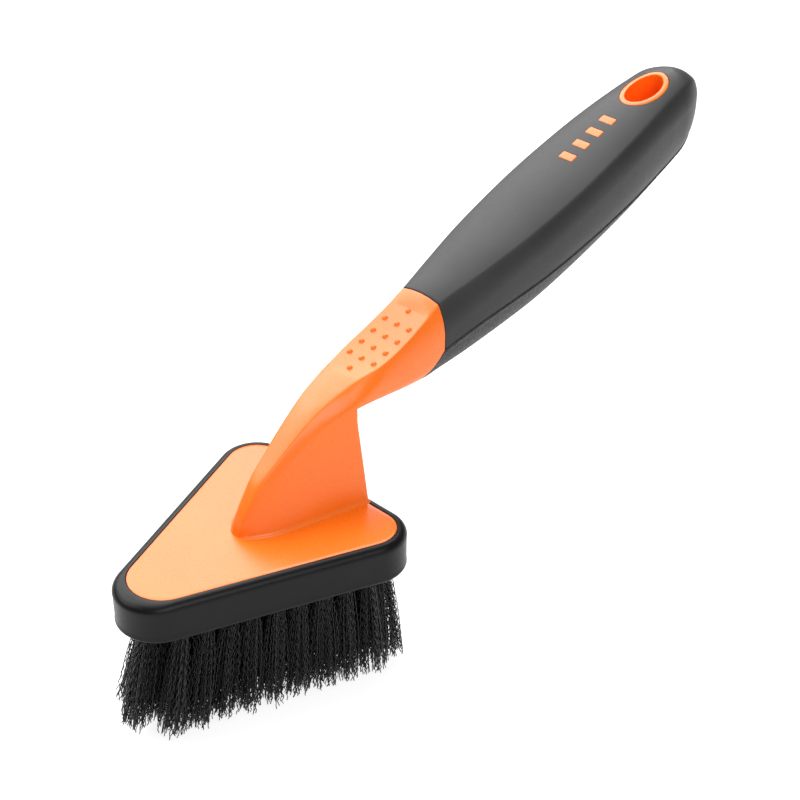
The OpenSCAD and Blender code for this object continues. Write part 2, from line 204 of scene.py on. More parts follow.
def half_height(x):
    """Half the handle's height in the middle."""
    return (curve(UPPER, 3, x) + curve(LOWER, 1, x)) / 2


def closing(x, end=HANDLE_END):
    """Share of its full size that the outline keeps as the handle's end closes in."""
    return np.sqrt(np.clip(1 - np.clip(1 - (end - x) / END_ROUND, 0, None) ** 2, 0, 1))


def ring(x, q, sunk=0.0, rounding=0.9, end=HANDLE_END):
    """Points of the handle's whole outline, drawn in by sunk. q below 0 is the -Y side."""
    x, q, sunk = np.broadcast_arrays(x, q, sunk)
    y, z = half(x, np.abs(q), rounding)
    close = closing(x, end)
    y = np.sign(q) * y * (1 - sunk / curve(UPPER, 4, x)) * close
    z = middle(x) + (z - middle(x)) * (1 - sunk / half_height(x)) * close**END_FLAT
    return np.stack([x + 0 * y, y, np.minimum(z, HIGHEST)], -1)


def band_height(x, y):
    """Height of the top band, before the handle's end closes in."""
    return PLATE_TOP + curve(UPPER, 2, x) + crown_rise(x, y, curve(UPPER, 1, x))


def top_height(x, y):
    """Height of the handle's upper surface."""
    close = closing(x)
    z = band_height(x, y / close)
    return np.minimum(middle(x) + (z - middle(x)) * close**END_FLAT, HIGHEST)


def bottom_height(x, y):
    """Height of the handle's underside."""
    close = closing(x)
    wide, n = curve(UPPER, 4, x), curve(LOWER, 2, x)
    level = PLATE_TOP + curve(UPPER, 2, x) - curve(UPPER, 5, x)
    deep = curve(LOWER, 1, x) - curve(UPPER, 5, x)
    z = level - deep * (1 - (np.abs(y / close) / wide) ** n) ** (1 / n)
    return middle(x) + (z - middle(x)) * close**END_FLAT


# ---------------------------------------------------------------- meshes

def quads(rows, cols, wrap=False):
    """Faces of a grid of points. wrap joins the last column to the first."""
    i = np.arange(rows - 1)[:, None] * cols
    j = np.arange(cols if wrap else cols - 1)[None, :]
    k = (j + 1) % cols
    return np.stack([i + j, i + k, i + cols + k, i + cols + j], -1).reshape(-1, 4)


def mesh_from(name, patches, weld=0.002, sharp=35):
    """One mesh of several grids: each is (points in rows and columns, wrap), and grids whose
    edges meet are welded."""
    verts, faces, count = [], [], 0
    for points, wrap in patches:
        rows, cols = points.shape[:2]
        verts.append(points.reshape(-1, 3))
        faces.append(quads(rows, cols, wrap) + count)
        count += rows * cols
    mesh = bpy.data.meshes.new(name)
    mesh.from_pydata((np.concatenate(verts) * MM).tolist(), [], np.concatenate(faces).tolist())
    bm = bmesh.new()
    bm.from_mesh(mesh)
    bmesh.ops.remove_doubles(bm, verts=bm.verts, dist=weld * MM)
    bmesh.ops.dissolve_degenerate(bm, edges=bm.edges, dist=weld * MM * 0.5)
    bmesh.ops.recalc_face_normals(bm, faces=bm.faces)
    bm.to_mesh(mesh)
    bm.free()
    finish_mesh(mesh, sharp)
    return mesh


def finish_mesh(mesh, sharp):
    """Smooth shading, with edges kept crisp where faces meet at more than sharp degrees."""
    mesh.shade_smooth()
    mesh.set_sharp_from_angle(angle=math.radians(sharp))


def piece(name, mesh, material, slot, *nodes):
    """A visible piece that stands for the CAD nodes."""
    obj = bpy.data.objects.new(name, mesh)
    bpy.context.scene.collection.objects.link(obj)
    mesh.materials.clear()
    mesh.materials.append(material)
    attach(obj, "root")
    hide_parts(*nodes)
    return obj


def at_height(points, z):
    """Points (x, y) of an outline as points (x, y, z)."""
    return np.concatenate([points, np.full((len(points), 1), z)], 1)


def fan(loop):
    """A cap over a closed loop of points, as a grid that ends at its middle."""
    mid = loop.mean(0, keepdims=True)
    return np.stack([loop, np.repeat(mid, len(loop), 0)]), True


def cut(obj, cutters, sharp):
    """Takes the cutters' solids out of obj for good."""
    for cutter in cutters:
        bpy.context.scene.collection.objects.link(cutter)
        mod = obj.modifiers.new("cut", "BOOLEAN")
        mod.operation, mod.solver, mod.object = "DIFFERENCE", "EXACT", cutter
        dg = bpy.context.evaluated_depsgraph_get()
        mesh = bpy.data.meshes.new_from_object(obj.evaluated_get(dg))
        obj.modifiers.clear()
        old, obj.data = obj.data, mesh
        bpy.data.meshes.remove(old)
        mesh.name = obj.name
        bpy.data.objects.remove(cutter)
    finish_mesh(obj.data, sharp)


# ---------------------------------------------------------------- materials

def srgb(*rgb):
    """Linear colour with alpha, from red, green and blue of 0 to 255."""
    shares = [v / 255 for v in rgb]
    return tuple(c / 12.92 if c <= 0.04045 else ((c + 0.055) / 1.055) ** 2.4 for c in shares) + (1,)


class Surface:
    """A material with its nodes, made bit by bit. A noise's scale is its cells to a metre."""

    def __init__(self, name, roughness, specular):
        self.material = bpy.data.materials.new(name)
        self.material.use_nodes = True
        self.tree = self.material.node_tree
        self.bsdf = self.tree.nodes["Principled BSDF"]
        self.bsdf.inputs["Roughness"].default_value = roughness
        self.bsdf.inputs["Specular IOR Level"].default_value = specular
        self.coords = self.tree.nodes.new("ShaderNodeTexCoord").outputs["Object"]

    def noise(self, scale, detail, rough=0.5, stretch=(1, 1, 1)):
        node = self.tree.nodes.new("ShaderNodeTexNoise")
        node.inputs["Scale"].default_value = scale
        node.inputs["Detail"].default_value = detail
        node.inputs["Roughness"].default_value = rough
        source = self.coords
        if stretch != (1, 1, 1):
            mapping = self.tree.nodes.new("ShaderNodeMapping")
            mapping.inputs["Scale"].default_value = stretch
            self.tree.links.new(self.coords, mapping.inputs["Vector"])
            source = mapping.outputs["Vector"]
        self.tree.links.new(source, node.inputs["Vector"])
        return node.outputs["Fac"]

    def colour(self, fac, *stops):
        """Base colour from two stops, each a place in the noise's range and a colour."""
        node = self.tree.nodes.new("ShaderNodeValToRGB")
        for element, (place, value) in zip(node.color_ramp.elements, stops):
            element.position = place
            element.color = value
        self.tree.links.new(fac, node.inputs["Fac"])
        self.tree.links.new(node.outputs["Color"], self.bsdf.inputs["Base Color"])

    def roughen(self, fac, low, high):
        """Roughness from low to high over the middle of the noise's range."""
        node = self.tree.nodes.new("ShaderNodeMapRange")
        node.inputs["From Min"].default_value = 0.3
        node.inputs["From Max"].default_value = 0.7
        node.inputs["To Min"].default_value = low
        node.inputs["To Max"].default_value = high
        self.tree.links.new(fac, node.inputs["Value"])
        self.tree.links.new(node.outputs["Result"], self.bsdf.inputs["Roughness"])

    def bump(self, fac, distance):
        """Fine relief, this many millimetres deep."""
        node = self.tree.nodes.new("ShaderNodeBump")
        node.inputs["Distance"].default_value = distance * MM
        node.inputs["Strength"].default_value = 1.0
        self.tree.links.new(fac, node.inputs["Height"])
        self.tree.links.new(node.outputs["Normal"], self.bsdf.inputs["Normal"])


def orange_plastic():
    s = Surface("orange_plastic", 0.3, 0.5)
    s.colour(s.noise(45, 2), (0.3, srgb(248, 114, 18)), (0.7, srgb(251, 120, 22)))
    s.roughen(s.noise(1400, 4), 0.26, 0.32)
    s.bump(s.noise(2600, 2, 0.5), 0.003)
    return s.material


def bumper_rubber():
    s = Surface("bumper_rubber", 0.5, 0.18)
    s.colour(s.noise(60, 3), (0.3, srgb(12, 11, 11)), (0.7, srgb(17, 16, 16)))
    s.roughen(s.noise(900, 4), 0.30, 0.40)
    s.bump(s.noise(3200, 3, 0.6), 0.015)
    return s.material


def grip_rubber():
    s = Surface("grip_rubber", 0.5, 0.27)
    s.colour(s.noise(50, 3), (0.3, srgb(44, 44, 45)), (0.7, srgb(50, 50, 51)))
    s.roughen(s.noise(900, 4), 0.40, 0.48)
    s.bump(s.noise(3000, 3, 0.6), 0.015)
    return s.material


def textured_rubber():
    s = Surface("textured_rubber", 0.6, 0.3)
    s.colour(s.noise(1500, 3, 0.7), (0.35, srgb(40, 40, 42)), (0.65, srgb(76, 76, 78)))
    s.roughen(s.noise(1200, 3), 0.45, 0.65)
    s.bump(s.noise(1500, 3, 0.7), 0.16)
    return s.material


def bristle():
    s = Surface("bristle", 0.25, 0.45)
    s.colour(s.noise(700, 2), (0.3, srgb(4, 3, 3)), (0.7, srgb(18, 13, 12)))
    s.roughen(s.noise(1800, 2), 0.18, 0.28)
    return s.material


def anchor_wire():
    s = Surface("anchor_wire", 0.35, 0.5)
    s.bsdf.inputs["Metallic"].default_value = 1.0
    s.colour(s.noise(900, 2, 0.5, (1, 30, 1)), (0.3, srgb(150, 150, 154)), (0.7, srgb(190, 190, 194)))
    s.bump(s.noise(1500, 2, 0.5, (1, 40, 1)), 0.01)
    return s.material


ORANGE, BLACK, GREY = orange_plastic(), bumper_rubber(), grip_rubber()
TEXTURED, BRISTLE, STEEL = textured_rubber(), bristle(), anchor_wire()


# ---------------------------------------------------------------- head

CREST_R, CREST_RISE = 2.75, 0.1   # the bumper's crest, and how far it stands over the plate
PLATE_GAP = 0.1                   # between plate and bumper
# Middles of the plate's corner arcs, and of the bumper's at the apex
REAR_C = LEAN + PLATE_L / 3 - REAR_R, PLATE_W / 2 - REAR_R / math.tan((math.pi / 2 - HALF_ANGLE) / 2)
APEX_X = LEAN - PLATE_L * 2 / 3
APEX_C = APEX_X + APEX_R / math.sin(HALF_ANGLE)
BUMPER_APEX_C = APEX_X + (BUMPER_APEX_R - BUMPER_T) / math.sin(HALF_ANGLE)
ARC_POINTS, SIDE_POINTS = 24, 36


def outline(apex_x, apex_r, rear_r):
    """Rounded triangle as points, one after another with the inside on the left. Corner arcs
    and straight sides have the same number of points at any size, so that rings match."""
    flank = math.pi / 2 + HALF_ANGLE
    x, y = REAR_C
    corners = [(x, -y, rear_r, -flank, 0, ARC_POINTS), (x, y, rear_r, 0, flank, ARC_POINTS),
               (apex_x, 0, apex_r, flank, 2 * math.pi - flank, 2 * ARC_POINTS)]
    arcs = []
    for cx, cy, r, start, end, count in corners:
        a = np.linspace(start, end, count)
        arcs.append(np.stack([cx + r * np.cos(a), cy + r * np.sin(a)], -1))
    t = np.linspace(0, 1, SIDE_POINTS + 2)[1:-1, None]
    points = []
    for k, corner in enumerate(arcs):
        after = arcs[(k + 1) % 3][0]
        points += [corner, corner[-1] * (1 - t) + after * t]
    return np.concatenate(points)


def sweep(inner, outer, profile):
    """A ring of section profile: (share from the inner outline to the outer, height)."""
    rows = [at_height(inner * (1 - s) + outer * s, z) for s, z in profile]
    rows.append(rows[0])
    return np.stack(rows), True


def arc(cs, cz, rs, rz, start, end, steps):
    """Part of an ellipse in a profile: its middle, radii, and angles in degrees."""
    a = np.radians(np.linspace(start, end, steps + 1))
    return list(zip(cs + rs * np.cos(a), cz + rz * np.sin(a)))


def make_bumper():
    """Rubber bumper: a big round crest at the top, a slightly drawn-in side and a rounded foot."""
    inner = outline(APEX_C, APEX_R, REAR_R)
    rim = outline(BUMPER_APEX_C, BUMPER_APEX_R, REAR_R + BUMPER_T)
    t, top = BUMPER_T, PLATE_TOP
    profile = [(0.0, UNDER + 0.9), (0.0, top - 0.35)]
    profile += arc(0.3 / t, top - 0.2, 0.3 / t, 0.3, 180, 90, 4)
    profile += arc((t - CREST_R) / t, top + CREST_RISE - CREST_R, CREST_R / t, CREST_R, 90, 0, 14)
    profile += [(1 - 0.03, top - 4.2), (1 - 0.05, UNDER + 3), (1 - 0.04, UNDER + 1.8)]
    profile += arc(1 - 1.2 / t, UNDER + 1.3, 1.15 / t, 1.3, 0, -90, 14)
    profile += [(0.5, UNDER), (0.2, UNDER)]
    profile += arc(0.25 / t, UNDER + 0.25, 0.25 / t, 0.25, -90, -180, 3)
    mesh = mesh_from("head_bumper_moulded", [sweep(inner, rim, profile)])
    piece("head_bumper_moulded", mesh, BLACK, "bumper_rubber", "head_bumper")


def make_plate():
    """Head plate, a hair inside the bumper, so that a fine dark line runs round it."""
    top = PLATE_TOP

    def inset(d):
        return outline(APEX_C, APEX_R - PLATE_GAP - d, REAR_R - PLATE_GAP - d)

    edge, flat = inset(0), inset(1.5)
    core = edge.mean(0) * np.ones_like(edge)
    rim = [(0, top - 0.3), (0, top - 0.12), (0.04, top - 0.04), (0.12, top)]
    rows = [at_height(edge * (1 - s) + core * s, PLATE_Z) for s in (1, 0.75, 0.5, 0.25, 0)]
    rows += [at_height(inset(d), z) for d, z in rim]
    rows += [at_height(flat * (1 - s) + core * s, top) for s in (0, 0.25, 0.5, 0.75, 1)]
    mesh = mesh_from("head_plate", [(np.stack(rows), True)])
    piece("head_plate", mesh, ORANGE, "orange_plastic", "core")


# ---------------------------------------------------------------- tufts

TUFT_ROWS = 11
# Only a tuft's root is this high above the plate's underside, and the next is more than this away
ROOTS_ABOVE, TUFT_GAP = 8, 1.5


def row_places(r):
    """Where the tufts of a row stand, from the upper ends of the CAD row's: x, and each one's y."""
    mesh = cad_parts[f"tuft_row_{r + 1:02d}"].data
    co = np.empty(len(mesh.vertices) * 3)
    mesh.vertices.foreach_get("co", co)
    co = co.reshape(-1, 3) / MM
    roots = co[co[:, 2] > PLATE_Z + ROOTS_ABOVE]
    x = (roots[:, 0].min() + roots[:, 0].max()) / 2
    ys = np.sort(roots[:, 1])
    groups = np.split(ys, np.where(np.diff(ys) > TUFT_GAP)[0] + 1)
    return x, [(g.min() + g.max()) / 2 for g in groups]


FILAMENTS, STEPS, SIDES = 88, 40, 3
ROOT_R, TIP_R, FILAMENT_R = 1.95, 4.5, 0.19   # a tuft at its root and its tips, and one filament
NEXT_TURN, FULL_TURN = 2.39996, 6.28          # radians from one filament's place to the next, and round
# Tips open out by these shares of a tuft's distance from the plate's middle
OPEN_FRONT, OPEN_REAR, OPEN_SIDE = 0.16, 0.2, 0.02
# In front of this x the tufts fan out sideways and stand higher, both by so much a millimetre
FAN_X, FAN_SIDE, FAN_LIFT = -20, 0.03, 0.1
# Tips that would reach past here turn back, so that they stay inside the CAD model's box
FRONT_LIMIT, TURN_BACK = CAD_BOX[0][0] / MM + 1.5, 1.4
SHORT_SHARE = 0.08                            # this share of the filaments ends 1 to 4 mm higher
LOWEST = 0.05                                 # no filament's middle line goes below this


def tuft_lines(x0, y0, rng):
    """Middle lines of a tuft's filaments, each with its own bow, crimp and length."""
    fan_out = max(0, FAN_X - x0)
    opening = OPEN_FRONT if x0 < LEAN else OPEN_REAR
    away = np.array([(x0 - LEAN) * opening - LEAN, y0 * (OPEN_SIDE + FAN_SIDE * fan_out)])
    k = np.arange(FILAMENTS)
    radius = np.sqrt((k + 0.5) / FILAMENTS)
    turn = k * NEXT_TURN + rng.uniform(0, FULL_TURN)
    spot = np.stack([radius * np.cos(turn), radius * np.sin(turn)], -1)
    spot += rng.normal(0, 0.05, spot.shape)
    root = spot * ROOT_R
    tip = away + spot * TIP_R + rng.normal(0, 0.9, spot.shape)
    tip[:, 0] += TURN_BACK * np.maximum(FRONT_LIMIT - x0 - tip[:, 0], 0)
    z_tip = np.abs(rng.normal(0, 1.3, FILAMENTS)) + 0.25
    z_tip += np.where(rng.random(FILAMENTS) < SHORT_SHARE, rng.uniform(1, 4, FILAMENTS), 0)
    # A filament that leans out doesn't reach as low
    z_tip += ((tip - root) ** 2).sum(-1) / (2 * PLATE_Z) + FAN_LIFT * fan_out
    t = np.linspace(0, 1, STEPS + 1)[None, :, None]
    z_root = PLATE_Z + 1.5
    z = z_root + (z_tip[:, None] - z_root) * t[..., 0]
    path = root[:, None] * (1 - t) + tip[:, None] * t
    bow = rng.normal(0, 0.7, (FILAMENTS, 1, 2)) + 0.15 * spot[:, None]
    path = path + bow * np.sin(np.pi * t) + np.array([x0, y0])
    length = z_root - z
    wave = rng.normal(3.3, 0.3, (FILAMENTS, 1))
    phase = rng.uniform(0, FULL_TURN, (FILAMENTS, 1))
    face = rng.uniform(0, FULL_TURN, (FILAMENTS, 1))
    size = rng.uniform(0.28, 0.48, (FILAMENTS, 1)) * smooth((length - 1) / 5)
    crimp = size * np.sin(2 * np.pi * length / wave + phase)
    path = path + np.stack([crimp * np.cos(face), crimp * np.sin(face)], -1)
    return np.concatenate([path, np.maximum(z, LOWEST)[..., None]], -1)


def filament_mesh(name, lines, rng):
    """One mesh of thin closed tubes along the lines."""
    n = len(lines)
    a = rng.uniform(0, FULL_TURN, (n, 1, 1)) + np.arange(SIDES)[None, None, :] * 2 * np.pi / SIDES
    thick = FILAMENT_R * rng.uniform(0.85, 1.1, (n, 1, 1)) * np.ones((1, STEPS + 1, 1))
    offset = np.stack([thick * np.cos(a), thick * np.sin(a), 0 * thick * a], -1)
    verts = (lines[:, :, None, :] + offset).reshape(-1, 3) * MM
    per = (STEPS + 1) * SIDES
    first = (np.arange(n) * per)[:, None, None]
    i = np.arange(STEPS)[:, None] * SIDES
    j = np.arange(SIDES)[None, :]
    m = (j + 1) % SIDES
    side = np.stack([i + j, i + SIDES + j, i + SIDES + m, i + m], -1).reshape(-1, 4)
    side = (side[None] + first).reshape(-1, 4)
    ends = np.array([[0, 1, 2], [per - 1, per - 2, per - 3]])
    ends = (ends[None] + first).reshape(-1, 3)
    mesh = bpy.data.meshes.new(name)
    mesh.vertices.add(len(verts))
    mesh.vertices.foreach_set("co", verts.ravel())
    corners = np.concatenate([side.ravel(), ends.ravel()])
    mesh.loops.add(len(corners))
    mesh.loops.foreach_set("vertex_index", corners)
    mesh.polygons.add(len(side) + len(ends))
    starts = np.concatenate([np.arange(len(side)) * 4, side.size + np.arange(len(ends)) * 3])
    mesh.polygons.foreach_set("loop_start", starts)
    mesh.update(calc_edges=True)
    mesh.validate()
    mesh.shade_smooth()
    return mesh


def make_tufts(r):
    rng = np.random.default_rng(40 + r)
    x0, ys = row_places(r)
    lines = np.concatenate([tuft_lines(x0, y0, rng) for y0 in ys])
    name = f"tuft_row_{r + 1:02d}"
    mesh = filament_mesh(name + "_filaments", lines, rng)
    piece(name + "_filaments", mesh, BRISTLE, "bristle", name)


# ---------------------------------------------------------------- neck and thumb zone

FILLET = 1.0          # where the neck runs into the plate
BACK_LEAN = 1.4       # the neck's rear face leans this far forward on its way down
CORNER_R = 1.0        # its upright edges
UNDER_FILLET = 1.6    # where it meets the underside of the handle
GROOVE = 0.5          # width of the fine groove at the grip's front
SKIRT = 0.5           # how far the neck reaches down into the plate
CORE_ROUND = 0.55     # rounding of the top band's edge in front of the grip


def neck_point(x, t):
    """Flank of the neck at x: t is 0 at the shoulder and 1 at the plate."""
    wide = curve(UPPER, 4, x)
    top = curve(UPPER, 2, x) - curve(UPPER, 5, x)
    top = np.maximum(top, -0.3)
    foot = curve(FOOT, 1, x)
    y = wide + (foot - wide) * t
    z = top * (1 - t)
    r = np.minimum(FILLET, 0.6 * np.maximum(top, 0.01))
    dip = np.clip((r - z) / r, 0, 1)
    return y + r * (1 - np.sqrt(np.maximum(1 - dip**2, 0))), z


def pad_front(q):
    """Where the grip starts for a place round the outline: slanted below the seam."""
    return GRIP_X + (PAD_X - GRIP_X) * np.clip((np.abs(q) - Q_SEAM) / (Q_PAD - Q_SEAM), 0, 1)


def neck_flank(share, down):
    """One flank of the neck, with its upright rounded corner at the rear and its skirt. share runs
    along the neck and down from shoulder to plate, both from 0 to 1."""
    corner = (CORNER_R * smooth(down / 0.18))[:, None]
    x = NOSE + (NECK_BACK - corner - NOSE) * share[None, :]
    y, z = neck_point(x, down[:, None])
    lean = BACK_LEAN * down[:, None] * ((x - NOSE) / (NECK_BACK - NOSE)) ** 2
    flank = np.stack([x - lean, y, z + PLATE_TOP], -1)
    phi = np.radians(np.linspace(0, 90, 9))[None, 1:]
    xe, ye, ze = flank[:, -1:, 0], flank[:, -1:, 1], flank[:, -1:, 2]
    bend = np.stack([xe + corner * np.sin(phi), ye - corner * (1 - np.cos(phi)), ze + 0 * phi], -1)
    flank = np.concatenate([flank, bend], 1)
    skirt = flank[-1:] - np.array([0, 0, SKIRT])
    return np.concatenate([flank, skirt])


def neck_rear(edge, down, start, fillet):
    """One side of the neck's rear face, from the flank's last column, edge, to the middle. Its
    columns follow the underside's outline at the handle's start, and a fillet joins the two."""
    h = start[:, 1] / start[0, 1]
    z_top = start[:, 2] - fillet
    z = PLATE_TOP + (z_top[None, :] - PLATE_TOP) * (1 - np.append(down, 1)[:, None])
    z[-1] -= SKIRT
    face = np.stack([edge[:, :1] + 0 * h[None, :], edge[:, 1:2] * h[None, :], z], -1)
    theta = np.radians(np.linspace(90, 0, 9))[:, None]
    bend = np.stack([NECK_BACK + fillet - fillet * np.cos(theta) + 0 * h,
                     start[None, :, 1] + 0 * theta, z_top + fillet * np.sin(theta)], -1)
    return np.concatenate([bend, face[1:]])


def make_neck():
    """Neck and thumb zone, as grids that meet along their edges."""
    q_top = np.concatenate([np.linspace(0, Q_A, 25), np.linspace(Q_A, Q_B, 9)[1:],
                            np.linspace(Q_B, 2, 13)[1:]])
    q_top = np.concatenate([-q_top[:0:-1], q_top])
    q_low = np.linspace(2, 3, 21)
    share = np.linspace(0, 1, 110) ** 1.35
    x_neck = NOSE + (NECK_BACK - NOSE) * share
    x_thumb = np.linspace(NECK_BACK, GRIP_X - GROOVE, 165)
    patches = [(ring(x[:, None], q_top[None, :], 0, CORE_ROUND), False) for x in (x_neck, x_thumb)]

    # Flanks, with levels closer together in the fillet at the plate, and the rear face
    fillet_levels = 1 - 0.1 * np.cos(np.linspace(0, 1, 13)[1:] * np.pi / 2)
    down = np.concatenate([np.linspace(0, 0.9, 24), fillet_levels])
    flank = neck_flank(share, down)
    start = ring(np.array([[NECK_BACK]]), q_low[None, :], 0, CORE_ROUND)[0]
    fillet = UNDER_FILLET * smooth(np.clip((1 - start[:, 1] / start[0, 1]) / 0.25, 0, 1))
    rear = neck_rear(flank[:, -1], down, start, fillet)

    # Underside of the handle in front of the grip
    x_end = pad_front(q_low) - GROOVE
    u = (x_thumb - NECK_BACK) / (x_thumb[-1] - NECK_BACK)
    first = NECK_BACK + fillet
    x_low = first[None, :] + (x_end - first)[None, :] * u[:, None]
    low = ring(x_low, q_low[None, :], 0, CORE_ROUND)
    for side in (1, -1):
        mirror = np.array([1, side, 1])
        patches += [(flank * mirror, False), (rear * mirror, False), (low * mirror, False)]

    # Step down into the groove at the grip's front edge, then run on under the grip
    q_all = np.concatenate([q_top, q_low[1:], -q_low[-2:0:-1]])
    ends = np.concatenate([np.full(len(q_top), GRIP_X - GROOVE), x_end[1:], x_end[-2:0:-1]])
    steps = [(0, 0), (0.14, 0.02), (0.26, 0.09), (0.33, 0.2), (0.35, 0.7), (2.0, 0.7)]
    tail = np.stack([ring(ends + dx, q_all, sunk, CORE_ROUND) for dx, sunk in steps])
    patches += [(tail, True), fan(tail[-1])]

    # Floor of the neck, inside the plate, and its front
    other = np.array([1, -1, 1])
    loop = np.concatenate([flank[-1], rear[-1][1:]])
    loop = np.concatenate([loop, (loop * other)[-2::-1]])
    front = flank[:, 0]
    patches += [fan(loop), (np.stack([front * other, front]), False)]
    mesh = mesh_from("neck_and_thumb_zone", patches, 0.004, 40)
    piece("neck_and_thumb_zone", mesh, ORANGE, "orange_plastic", "core")


BUMP_PITCH = 5.5
BUMPS = [(48.0, 0)]
BUMPS += [(x, y) for x in (53.4, 58.8, 64.2, 69.6) for y in (-BUMP_PITCH, 0, BUMP_PITCH)]
BUMPS += [(74.9, 0)]
# Radius and height of a bump's section
BUMP_PROFILE = [(1.25, -0.3), (1.12, -0.02), (0.98, 0.06), (0.84, 0.3), (0.66, 0.57), (0.41, 0.77),
                (0.18, 0.85), (0, 0.86)]


def make_bumps():
    """Small round-nosed bumps where the thumb rests, each square to the surface."""
    a = np.linspace(0, 2 * np.pi, 25)[:-1, None]
    patches = []
    for x, y in BUMPS:
        px, py = np.float64(x), np.float64(y)
        foot = np.array([x, y, float(band_height(px, py))])
        slope_x = float(band_height(px + 0.5, py) - band_height(px - 0.5, py))
        slope_y = float(band_height(px, py + 0.5) - band_height(px, py - 0.5))
        n = Vector((-slope_x, -slope_y, 1)).normalized()
        u = Vector((1, 0, slope_x)).normalized()
        v = np.array(n.cross(u))
        around = np.cos(a) * np.array(u) + np.sin(a) * v
        rows = [foot + r * around + z * np.array(n) for r, z in BUMP_PROFILE]
        rows.insert(0, np.repeat(rows[0].mean(0, keepdims=True), len(a), 0))
        patches.append((np.stack(rows), True))
    mesh = mesh_from("thumb_bumps", patches, 0.001, 60)
    piece("thumb_bumps", mesh, ORANGE, "orange_plastic", "core")


# ---------------------------------------------------------------- grip

TILT_COS, TILT_SIN = math.cos(HANG_TILT), math.sin(HANG_TILT)
SKIN, SKIN_ROUND = 2.6, 0.55      # thickness of the grip's skin, and rounding of its edge at the front
LINER = 1.9                       # wall of the hang hole's liner
HOLE_GROW = LINER + 0.15          # the hole in the grip round the liner
BAR_X, BAR_L, BAR_W, BAR_R = (153, 159.9, 166.8, 173.7), 6, 3.2, 0.35


def hang_frame(u, v, s):
    """A point by its place across the hang hole and along its tilted axis."""
    z0 = middle(np.float64(HANG_X))
    return np.stack([HANG_X + u * TILT_COS - s * TILT_SIN, v + 0 * s, z0 + u * TILT_SIN + s * TILT_COS], -1)


def prism(rows):
    """A solid between two loops of points, to cut with."""
    mesh = mesh_from("cutter", [(np.stack(rows), True), fan(rows[0]), fan(rows[1])])
    return bpy.data.objects.new("cutter", mesh)


def hang_cutter():
    a = np.linspace(0, 2 * np.pi, 97)[:-1]
    u, v = (HANG_A + HOLE_GROW) * np.cos(a), (HANG_B + HOLE_GROW) * np.sin(a)
    return prism([hang_frame(u, v, s + 0 * a) for s in (-32, 32)])


def bar_outline(grow, steps):
    """Rounded rectangle of a raised bar, grown by so much, with so many points to a corner."""
    w, l, r = BAR_W / 2 + grow, BAR_L / 2 + grow, BAR_R + grow
    corners = ((w - r, l - r, 0), (-w + r, l - r, 90), (-w + r, -l + r, 180), (w - r, -l + r, 270))
    loop = []
    for cx, cy, start in corners:
        for a in np.radians(np.linspace(start, start + 90, steps)):
            loop.append((cx + r * math.cos(a), cy + r * math.sin(a)))
    return np.array(loop)


def bar_cutter(x):
    """The recess in the grip that a bar sits in."""
    u, v = bar_outline(0.12, 5).T
    base = float(top_height(np.float64(x), np.float64(0)))
    return prism([np.stack([x + u * TILT_COS - s * TILT_SIN, v, base + u * TILT_SIN + s * TILT_COS], -1)
                  for s in (-1.2, 3.0)])


def seam_length(x, way):
    """Millimetres of outline to a step of 1 in q, just above the seam (way -1) or below it (1)."""
    there, here = ring(x, Q_SEAM + way * Q_STEP), ring(x, Q_SEAM)
    return np.maximum(np.linalg.norm(there - here, axis=-1) / Q_STEP, 4)


# The grip's front edge is rounded: its first rows stand close together and sink this far
FRONT_STEPS, FRONT_SUNK = np.array([0, 0.05, 0.16, 0.34, 0.6]), (0.42, 0.2, 0.07, 0.015, 0)


def grip_skin(q_cols, edge, way):
    """Closed skin of the grip over q_cols, as loops along the handle. Its long edges follow
    edge: distance in from the seam in millimetres, and how far it sinks there. way is -1 for a
    skin above the seam and 1 below it. q beyond 3 is the other side of the handle."""
    lead = np.array([d for d, _ in edge])
    dip = np.array([s for _, s in edge])
    flat = np.zeros(len(q_cols) - 2)
    q_out = np.concatenate([q_cols[0] + 0 * lead, q_cols[1:-1], q_cols[-1] + 0 * lead])
    n = len(q_out)
    q = np.concatenate([q_out, q_out[::-1]])
    step = np.concatenate([lead, flat, -lead[::-1], np.zeros(n)])
    sunk = np.concatenate([dip, flat, dip[::-1], np.full(n, SKIN)])
    signed = np.where(np.abs(q) > 3, q - 6, q)

    # Rows: shares of the straight part, then degrees round the handle's end
    straight = np.concatenate([np.linspace(0, 0.03, 6)[:-1], np.linspace(0.03, 1, 150)])
    turn = np.linspace(0, 90, 40)[1:]
    begin = pad_front(signed)
    end = HANDLE_END - np.maximum(sunk, 0)
    x_in = end - END_ROUND
    x = np.concatenate([begin + (x_in - begin) * straight[:, None],
                        x_in + END_ROUND * np.sin(np.radians(turn))[:, None]])
    front = len(FRONT_STEPS)
    x[:front] = begin + FRONT_STEPS[:, None]
    front_sunk = np.zeros(len(x))
    front_sunk[:front] = FRONT_SUNK
    outer = np.arange(2 * n) < n
    sunk = sunk[None, :] + np.where(outer[None, :], front_sunk[:, None], 0)
    round_off = SKIN_ROUND + 0.5 * smooth((x - GRIP_X) / 60)
    pts = ring(x, signed + step / seam_length(x, way), sunk, round_off, end[None, :])
    face = np.stack([pts[0][:n], pts[0][n:][::-1]])
    return [(pts, True), (face, False)]


